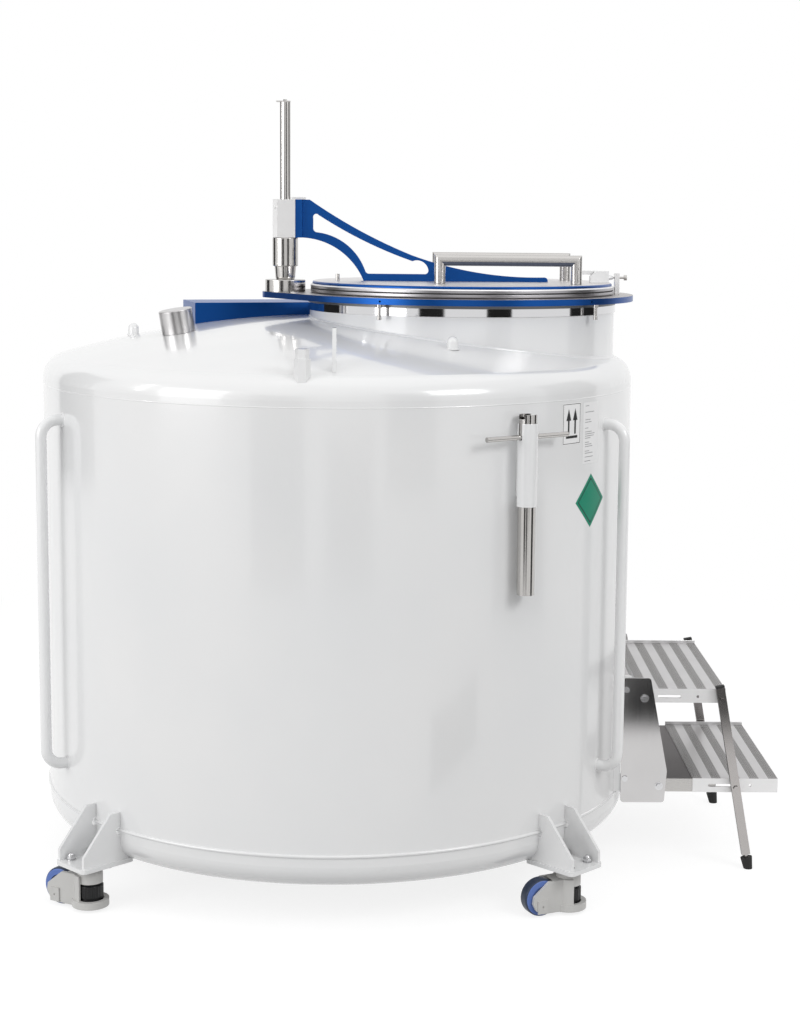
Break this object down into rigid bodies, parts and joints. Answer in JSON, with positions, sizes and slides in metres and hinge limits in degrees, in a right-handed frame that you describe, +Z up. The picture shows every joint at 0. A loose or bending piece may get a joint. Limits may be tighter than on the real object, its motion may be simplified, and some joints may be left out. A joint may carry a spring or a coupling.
{
  "type": "liquid nitrogen storage tank",
  "caption": "Vacuum-jacketed cryogenic storage tank on levelling casters, with a lid that lifts on a post and a folding double step.",
  "frame": {"origin": "on the floor, at the middle of the footprint", "axes": "+Z up, +X towards the operator's side with the steps, -Y the side that shows the lid arm's front face"},
  "size_m": [1.886, 1.5176, 1.934],
  "materials": {
    "white_paint": "gloss white enamel",
    "stainless_steel": "brushed stainless",
    "polished_steel": "polished stainless",
    "satin_aluminium": "brushed, clear anodised",
    "blue_finish": "blue anodised, satin",
    "caster_casting": "warm grey cast, painted",
    "plated_steel": "zinc plated",
    "wheel_blue": "blue wheel tread on a lighter hub",
    "black_plastic": "black nylon",
    "black_rubber": "black rubber",
    "white_foam": "closed cell foam"
  },
  "bodies": {
    "tank": {"outer_shell": "white_paint", "top_head": "white_paint", "bottom_head": "white_paint", "neck_collar": "white_paint", "neck_band": "polished_steel", "inner_vessel": "stainless_steel", "neck_liner": "stainless_steel", "ring_plate": "blue_finish", "ring_studs": "stainless_steel", "post_base": "stainless_steel", "post_sleeve": "stainless_steel", "post_tube": "stainless_steel", "rear_beam": "blue_finish", "vacuum_port_cap": "stainless_steel", "dome_studs": "white_paint", "lifting_lugs": "white_paint", "relief_plug": "white_paint", "key_holder": "white_paint", "lock_post": "stainless_steel", "caster_mounts": "plated_steel", "step_strips": "white_paint", "step_side_plate_front": "stainless_steel", "step_side_plate_rear": "stainless_steel", "step_bolts": "stainless_steel", "side_handle_1": "white_paint", "caster_bracket_1": "white_paint", "side_handle_2": "white_paint", "caster_bracket_2": "white_paint", "side_handle_3": "white_paint", "caster_bracket_3": "white_paint", "side_handle_4": "white_paint", "caster_bracket_4": "white_paint"},
    "lid_carriage": {"slider_block": "satin_aluminium", "lid_arm": "blue_finish", "lid_top_plate": "blue_finish", "lid_disc": "satin_aluminium", "lid_plug": "white_foam", "lid_handle_front": "stainless_steel", "lid_handle_rear": "stainless_steel", "lock_bracket": "white_paint"},
    "lock_bolt": {"lock_bolt": "stainless_steel"},
    "carousel": {"carousel": "satin_aluminium"},
    "key": {"key": "stainless_steel"},
    "upper_tread": {"upper_tread": "satin_aluminium"},
    "lower_tread": {"lower_tread": "satin_aluminium", "lower_arms": "stainless_steel"},
    "step_legs": {"step_legs": "stainless_steel", "leg_ends": "black_rubber"},
    "caster_1": {"caster_housing_1": "caster_casting"},
    "wheel_1": {"caster_wheel_1": "wheel_blue"},
    "foot_1": {"caster_foot_1": "black_plastic"},
    "caster_2": {"caster_housing_2": "caster_casting"},
    "wheel_2": {"caster_wheel_2": "wheel_blue"},
    "foot_2": {"caster_foot_2": "black_plastic"},
    "caster_3": {"caster_housing_3": "caster_casting"},
    "wheel_3": {"caster_wheel_3": "wheel_blue"},
    "foot_3": {"caster_foot_3": "black_plastic"},
    "caster_4": {"caster_housing_4": "caster_casting"},
    "wheel_4": {"caster_wheel_4": "wheel_blue"},
    "foot_4": {"caster_foot_4": "black_plastic"}
  },
  "joints": [
    {"name": "lid_lift", "type": "slide", "parent": "tank", "child": "lid_carriage", "axis": [0, 0, 1], "range_m": [0, 0.235]},
    {"name": "lock_slide", "type": "slide", "parent": "tank", "child": "lock_bolt", "axis": [-1, 0, 0], "range_m": [0, 0.011]},
    {"name": "carousel_turn", "type": "hinge", "parent": "tank", "child": "carousel", "pos_m": [-0.184, 0, 0.32], "axis": [0, 0, 1], "continuous": true},
    {"name": "key_lift", "type": "slide", "parent": "tank", "child": "key", "axis": [0, 0, 1], "range_m": [0, 0.42]},
    {"name": "caster_swivel_1", "type": "hinge", "parent": "tank", "child": "caster_1", "pos_m": [0.38522, -0.56922, 0.108], "axis": [0, 0, 1], "continuous": true},
    {"name": "wheel_roll_1", "type": "hinge", "parent": "caster_1", "child": "wheel_1", "pos_m": [0.31482, -0.6028, 0.045], "axis": [0.4305, -0.9026, 0], "continuous": true},
    {"name": "foot_level_1", "type": "slide", "parent": "caster_1", "child": "foot_1", "axis": [0, 0, -1], "range_m": [0, 0.012]},
    {"name": "caster_swivel_2", "type": "hinge", "parent": "tank", "child": "caster_2", "pos_m": [0.38522, 0.56922, 0.108], "axis": [0, 0, 1], "continuous": true},
    {"name": "wheel_roll_2", "type": "hinge", "parent": "caster_2", "child": "wheel_2", "pos_m": [0.31767, 0.60822, 0.045], "axis": [-0.5, -0.866, 0], "continuous": true},
    {"name": "foot_level_2", "type": "slide", "parent": "caster_2", "child": "foot_2", "axis": [0, 0, -1], "range_m": [0, 0.012]},
    {"name": "caster_swivel_3", "type": "hinge", "parent": "tank", "child": "caster_3", "pos_m": [-0.75322, 0.56922, 0.108], "axis": [0, 0, 1], "continuous": true},
    {"name": "wheel_roll_3", "type": "hinge", "parent": "caster_3", "child": "wheel_3", "pos_m": [-0.82856, 0.58941, 0.045], "axis": [-0.2588, -0.9659, 0], "continuous": true},
    {"name": "foot_level_3", "type": "slide", "parent": "caster_3", "child": "foot_3", "axis": [0, 0, -1], "range_m": [0, 0.012]},
    {"name": "caster_swivel_4", "type": "hinge", "parent": "tank", "child": "caster_4", "pos_m": [-0.75322, -0.56922, 0.108], "axis": [0, 0, 1], "continuous": true},
    {"name": "wheel_roll_4", "type": "hinge", "parent": "caster_4", "child": "wheel_4", "pos_m": [-0.82272, -0.53381, 0.045], "axis": [-0.454, -0.891, 0], "continuous": true},
    {"name": "foot_level_4", "type": "slide", "parent": "caster_4", "child": "foot_4", "axis": [0, 0, -1], "range_m": [0, 0.012]},
    {"name": "step_fold", "type": "hinge", "parent": "tank", "child": "upper_tread", "pos_m": [0.598, 0, 0.44], "axis": [0, -1, 0], "range_deg": [0, 85]},
    {"name": "lower_fold", "type": "hinge", "parent": "tank", "child": "lower_tread", "pos_m": [0.639, 0, 0.212], "axis": [0, -1, 0], "range_deg": [0, 85]},
    {"name": "leg_pivot", "type": "hinge", "parent": "upper_tread", "child": "step_legs", "pos_m": [0.792, 0, 0.44], "axis": [0, -1, 0], "range_deg": [-85, 0]}
  ],
  "couplings": [
    {"joint": "lower_fold", "follows": "step_fold", "ratio": 1},
    {"joint": "leg_pivot", "follows": "step_fold", "ratio": -1}
  ]
}
